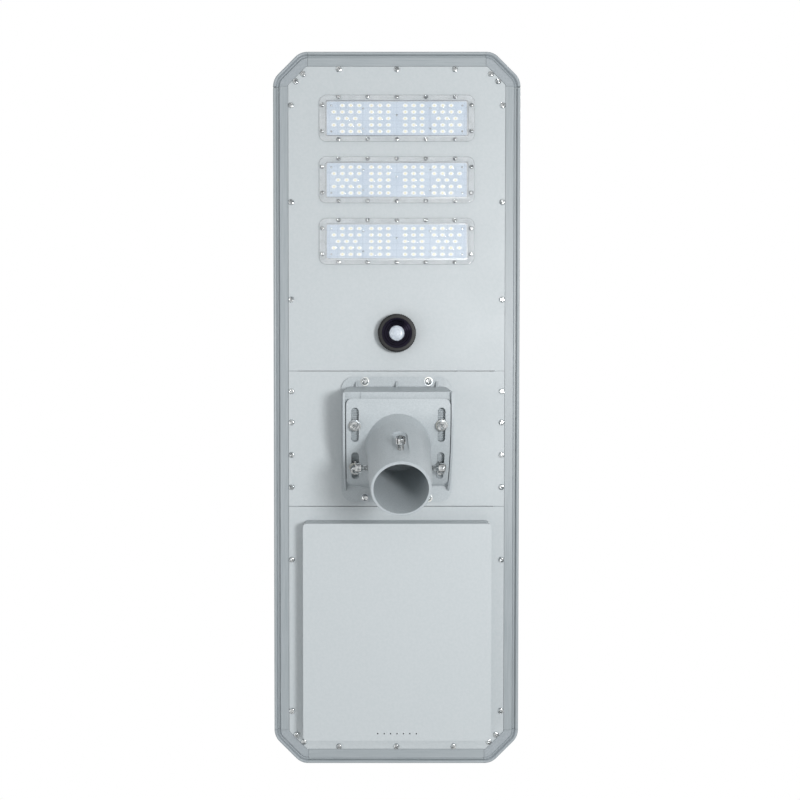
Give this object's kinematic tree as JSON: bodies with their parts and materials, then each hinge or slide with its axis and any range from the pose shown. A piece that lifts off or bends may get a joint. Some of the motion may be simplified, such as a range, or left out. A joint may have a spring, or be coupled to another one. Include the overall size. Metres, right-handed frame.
{
  "type": "solar street lamp",
  "caption": "All-in-one solar street lamp: flat framed head with solar face, lamp modules, motion sensor and battery box, on a tilting pole sleeve.",
  "frame": {"origin": "centre of the mouth of the pole sleeve", "axes": "+Z square to the solar face, pointing to the sky; +Y towards the lamp end of the head; +X across, to the right when facing the lamp end"},
  "size_m": [0.346, 1.003, 0.2246],
  "materials": {
    "frame_extrusion": "silver anodised extrusion",
    "frame_casting": "silver-grey coated die casting",
    "coated_sheet": "fine-texture silver-grey powder coat",
    "stainless_steel": "bright stainless",
    "zinc_plated_steel": "zinc plated",
    "solar_glass": "tempered solar glass",
    "solar_cell": "dark blue silicon",
    "back_film": "white film",
    "silicone": "white silicone",
    "black_plastic": "moulded black plastic",
    "gloss_black_plastic": "polished black plastic",
    "lens_polycarbonate": "clear moulded polycarbonate",
    "led_board": "white solder mask",
    "led_phosphor": "LED phosphor in a white package",
    "heat_sink_aluminium": "mill-finish aluminium",
    "sensor_lens_plastic": "milky white plastic",
    "circuit_board": "green solder mask",
    "black_rubber": "black rubber",
    "bracket_casting": "silver-grey coated aluminium casting",
    "battery_can": "blue sleeve over a steel can",
    "lead_red": "red insulation",
    "lead_black": "black insulation"
  },
  "bodies": {
    "sleeve": {"pole_sleeve": "bracket_casting"},
    "head": {"side_rail_left": "frame_extrusion", "side_rail_right": "frame_extrusion", "end_rail_lamp": "frame_extrusion", "end_rail_battery": "frame_extrusion", "corner_lamp_left": "frame_casting", "corner_lamp_right": "frame_casting", "corner_battery_left": "frame_casting", "corner_battery_right": "frame_casting", "lamp_panel": "coated_sheet", "bracket_panel": "coated_sheet", "battery_panel": "coated_sheet", "battery_cover": "coated_sheet", "panel_screws": "stainless_steel", "lens_screws": "stainless_steel", "base_screws": "stainless_steel", "tilt_bolts": "stainless_steel", "base_washers": "zinc_plated_steel", "tilt_washers": "zinc_plated_steel", "base_nuts": "zinc_plated_steel", "cross_channel": "zinc_plated_steel", "solar_glass": "solar_glass", "solar_cells": "solar_cell", "back_sheet": "back_film", "glass_seal": "silicone", "junction_box": "black_plastic", "lens_cover_1": "lens_polycarbonate", "lens_gasket_1": "silicone", "led_board_1": "led_board", "led_chips_1": "led_phosphor", "heat_spreader_1": "heat_sink_aluminium", "lens_cover_2": "lens_polycarbonate", "lens_gasket_2": "silicone", "led_board_2": "led_board", "led_chips_2": "led_phosphor", "heat_spreader_2": "heat_sink_aluminium", "lens_cover_3": "lens_polycarbonate", "lens_gasket_3": "silicone", "led_board_3": "led_board", "led_chips_3": "led_phosphor", "heat_spreader_3": "heat_sink_aluminium", "sensor_body": "black_plastic", "sensor_ring": "black_plastic", "sensor_hood": "gloss_black_plastic", "sensor_lens": "sensor_lens_plastic", "sensor_board": "circuit_board", "sensor_gasket": "black_rubber", "bracket_base": "bracket_casting", "battery_cells": "battery_can", "battery_tray": "black_plastic", "battery_straps": "heat_sink_aluminium", "charge_controller": "heat_sink_aluminium", "lamp_leads": "lead_red", "sensor_lead": "lead_black", "panel_lead": "lead_black", "battery_lead": "lead_black"},
    "left_clamp_screw": {"clamp_screw_left": "stainless_steel"},
    "right_clamp_screw": {"clamp_screw_right": "stainless_steel"},
    "front_clamp_screw": {"clamp_screw_front": "stainless_steel"}
  },
  "joints": [
    {"name": "head_tilt", "type": "hinge", "parent": "sleeve", "child": "head", "pos_m": [0, 0.09138, 0.23806], "axis": [1, 0, 0], "range_deg": [-8, 8]},
    {"name": "left_clamp", "type": "slide", "parent": "sleeve", "child": "left_clamp_screw", "axis": [1, 0, 0], "range_m": [0, 0.0077]},
    {"name": "right_clamp", "type": "slide", "parent": "sleeve", "child": "right_clamp_screw", "axis": [-1, 0, 0], "range_m": [0, 0.0077]},
    {"name": "front_clamp", "type": "slide", "parent": "sleeve", "child": "front_clamp_screw", "axis": [0, -0.9336, 0.3584], "range_m": [0, 0.0077]}
  ]
}
